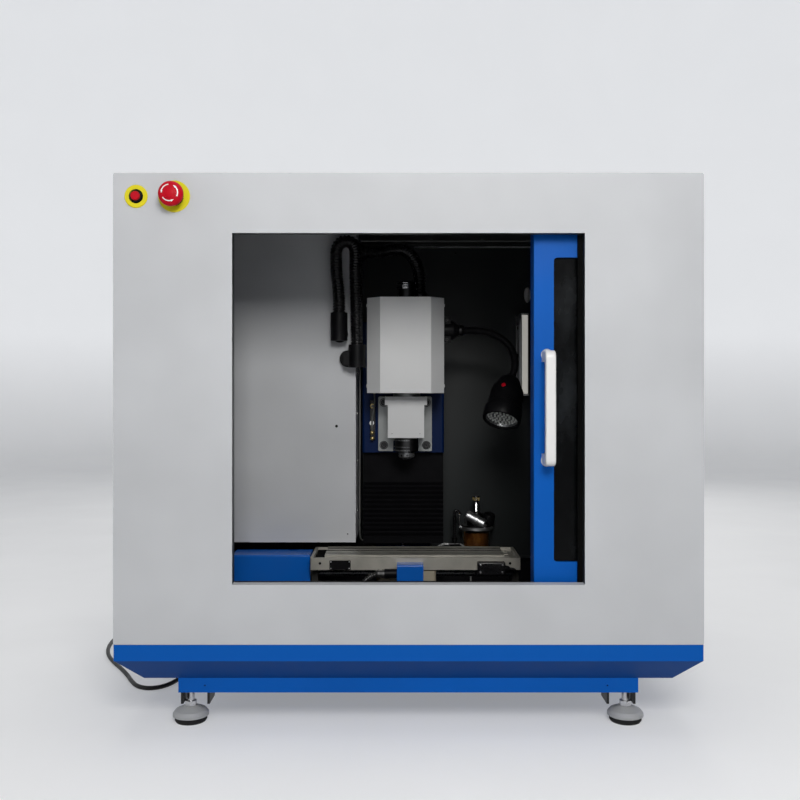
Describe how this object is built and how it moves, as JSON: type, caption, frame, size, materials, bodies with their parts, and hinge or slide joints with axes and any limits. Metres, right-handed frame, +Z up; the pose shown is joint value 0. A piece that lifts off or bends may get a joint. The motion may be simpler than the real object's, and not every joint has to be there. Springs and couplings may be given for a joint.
{
  "type": "mini cnc milling machine",
  "caption": "Enclosed bench-top milling machine: sheet-metal cabinet with telescopic sliding door, cross table, spindle head on a column, work lamp and levelling feet.",
  "frame": {"origin": "on the floor under the centre of the machine's box, its mains lead left out", "axes": "+X to the operator's right along the cabinet's width, +Y away from the operator, +Z up"},
  "size_m": [1.1213, 0.933, 0.908],
  "materials": {
    "grey_paint": "satin powder coat",
    "blue_paint": "satin powder coat",
    "dark_paint": "gloss enamel",
    "foot_steel": "zinc plated",
    "black_steel": "black oxide",
    "cast_disc": "grey paint",
    "rubber": "matte",
    "aluminium": "ground",
    "machined_iron": "ground",
    "polished_steel": "polished",
    "black_plastic": "matte",
    "yellow_plate": "satin",
    "red_plastic": "gloss",
    "white_handle": "satin",
    "brass": "turned",
    "dark_pane": "tinted",
    "clear_cup": "clear with oil",
    "lens": "clear",
    "light_face": "diffuser"
  },
  "bodies": {
    "cabinet": {"front_panel": "grey_paint", "side_panels": "grey_paint", "rear_panel": "grey_paint", "top_panel": "grey_paint", "base_tray": "blue_paint", "plinth": "blue_paint", "foot_brackets": "black_steel", "foot_studs": "foot_steel", "foot_discs": "cast_disc", "foot_pads": "rubber", "control_compartment": "grey_paint", "control_units": "black_plastic", "door_tracks": "aluminium", "button_rings": "yellow_plate", "button_bases": "black_plastic", "machine_base": "dark_paint", "column": "blue_paint", "axis_motors": "black_steel", "y_motor_cover": "blue_paint", "way_cover": "rubber", "light_bar": "light_face", "oiler_pump": "aluminium", "oiler_cup": "clear_cup", "cable_glands": "black_plastic", "fixed_hoses": "black_plastic", "axis_conduit": "black_plastic", "head_hose": "black_plastic", "mains_lead": "rubber", "mains_coil": "rubber", "mains_plug": "black_plastic"},
    "door_front": {"door_frame_front": "blue_paint", "door_pane_front": "dark_pane", "door_handle": "white_handle"},
    "door_middle": {"door_frame_middle": "blue_paint", "door_pane_middle": "dark_pane"},
    "door_rear": {"door_frame_rear": "blue_paint", "door_pane_rear": "dark_pane"},
    "estop": {"estop_head": "red_plastic"},
    "stop_button": {"stop_button_cap": "red_plastic"},
    "saddle": {"saddle": "machined_iron", "screw_nuts": "brass"},
    "table": {"table": "machined_iron", "table_switch": "black_plastic", "x_motor": "black_steel", "x_motor_cover": "blue_paint"},
    "x_screw": {"x_screw": "polished_steel"},
    "y_screw": {"y_screw": "polished_steel"},
    "z_screw": {"z_screw": "polished_steel"},
    "head": {"head_slide": "blue_paint", "spindle_housing": "machined_iron", "flange_bolts": "black_steel", "spindle_cover": "grey_paint", "head_cover": "grey_paint", "spindle_motor": "black_steel", "lamp_arm": "black_plastic"},
    "spindle": {"spindle_shaft": "black_steel", "collet_nut": "black_steel"},
    "lamp": {"lamp_head": "black_plastic", "lamp_lens": "lens"},
    "oiler_knob": {"oiler_plunger": "polished_steel"}
  },
  "joints": [
    {"name": "door_front_slide", "type": "slide", "parent": "cabinet", "child": "door_front", "axis": [1, 0, 0], "range_m": [-0.496, 0]},
    {"name": "door_middle_slide", "type": "slide", "parent": "cabinet", "child": "door_middle", "axis": [1, 0, 0], "range_m": [-0.331, 0]},
    {"name": "door_rear_slide", "type": "slide", "parent": "cabinet", "child": "door_rear", "axis": [1, 0, 0], "range_m": [-0.1655, 0]},
    {"name": "saddle_travel", "type": "slide", "parent": "cabinet", "child": "saddle", "axis": [0, 1, 0], "range_m": [0, 0.075]},
    {"name": "table_travel", "type": "slide", "parent": "saddle", "child": "table", "axis": [1, 0, 0], "range_m": [-0.1, 0.105]},
    {"name": "head_travel", "type": "slide", "parent": "cabinet", "child": "head", "axis": [0, 0, 1], "range_m": [-0.15, 0], "deforming": ["way_cover", "head_hose"]},
    {"name": "x_screw_turn", "type": "hinge", "parent": "table", "child": "x_screw", "pos_m": [0, -0.01, 0.19], "axis": [1, 0, 0], "range_deg": [-9001, 9451]},
    {"name": "y_screw_turn", "type": "hinge", "parent": "cabinet", "child": "y_screw", "pos_m": [0.005, 0.03, 0.14], "axis": [0, 1, 0], "range_deg": [-1, 6751]},
    {"name": "z_screw_turn", "type": "hinge", "parent": "cabinet", "child": "z_screw", "pos_m": [-0.007, 0.152, 0.4], "axis": [0, 0, 1], "range_deg": [-13501, 1]},
    {"name": "spindle_turn", "type": "hinge", "parent": "head", "child": "spindle", "pos_m": [0, 0.06, 0.5], "axis": [0, 0, 1], "continuous": true},
    {"name": "lamp_tilt", "type": "hinge", "parent": "head", "child": "lamp", "pos_m": [0.213, 0.061, 0.57], "axis": [1, 0, 0], "range_deg": [-20, 30]},
    {"name": "estop_press", "type": "slide", "parent": "cabinet", "child": "estop", "axis": [0, 1, 0], "range_m": [0, 0.005]},
    {"name": "stop_button_press", "type": "slide", "parent": "cabinet", "child": "stop_button", "axis": [0, 1, 0], "range_m": [0, 0.003], "stiffness_N_per_m": 600},
    {"name": "oiler_pull", "type": "slide", "parent": "cabinet", "child": "oiler_knob", "axis": [0, 0, 1], "range_m": [0, 0.03], "stiffness_N_per_m": 120}
  ],
  "couplings": [
    {"joint": "door_middle_slide", "follows": "door_front_slide", "ratio": 0.66667},
    {"joint": "door_rear_slide", "follows": "door_front_slide", "ratio": 0.33333},
    {"joint": "x_screw_turn", "follows": "table_travel", "rad_per_m": 1570.8},
    {"joint": "y_screw_turn", "follows": "saddle_travel", "rad_per_m": 1570.8},
    {"joint": "z_screw_turn", "follows": "head_travel", "rad_per_m": 1570.8}
  ]
}
